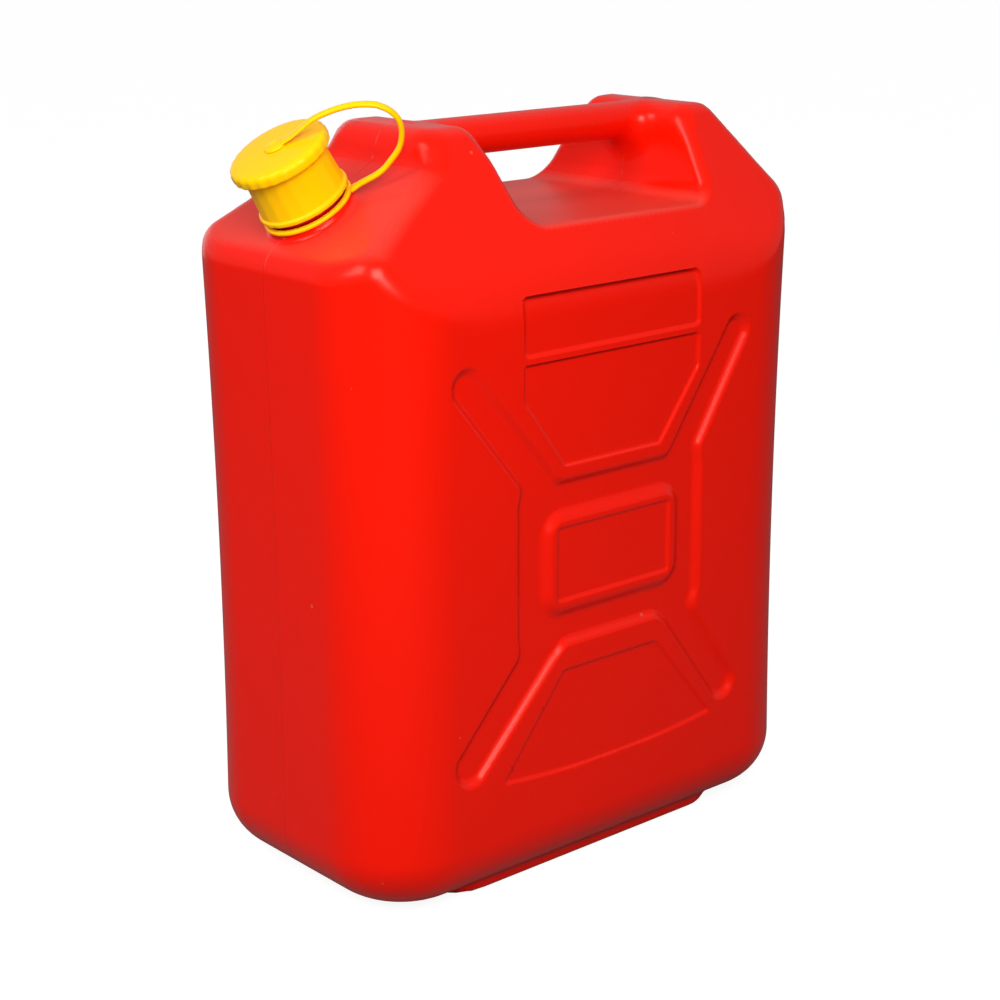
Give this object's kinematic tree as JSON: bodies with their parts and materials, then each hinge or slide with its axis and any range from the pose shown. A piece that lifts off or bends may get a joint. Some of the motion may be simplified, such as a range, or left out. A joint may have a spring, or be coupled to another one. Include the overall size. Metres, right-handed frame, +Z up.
{
  "type": "plastic jerrycan",
  "caption": "Upright plastic jerrycan with a moulded-in handle bar, a crossed channel pressed in its broad sides and a tethered screw cap on a sloping shoulder.",
  "frame": {"origin": "on the ground plane under the middle of the can, at the centre of its length and width", "axes": "+Z up, +X along the can from the neck end to the rear, +Y across the can, away from the side that carries the tether strap"},
  "size_m": [0.3417, 0.186, 0.4405],
  "materials": {
    "red_plastic": "satin moulded polyethylene",
    "yellow_plastic": "smooth moulded polyethylene",
    "washer_rubber": "dull rubber"
  },
  "bodies": {
    "can": {"can_body": "red_plastic", "tether_ring": "yellow_plastic", "tether_strap": "yellow_plastic"},
    "tether_end": {"tether_eye": "yellow_plastic"},
    "screw_cap": {"cap": "yellow_plastic", "cap_washer": "washer_rubber"}
  },
  "joints": [
    {"name": "cap_lift", "type": "slide", "parent": "can", "child": "tether_end", "axis": [-0.515, 0, 0.8572], "range_m": [0, 0.01], "deforming": ["tether_strap"]},
    {"name": "cap_turn", "type": "hinge", "parent": "tether_end", "child": "screw_cap", "pos_m": [-0.13243, 0, 0.37907], "axis": [-0.515, 0, 0.8572], "range_deg": [0, 720]}
  ],
  "couplings": [
    {"joint": "cap_lift", "follows": "cap_turn", "m_per_rad": 0.00079577}
  ]
}
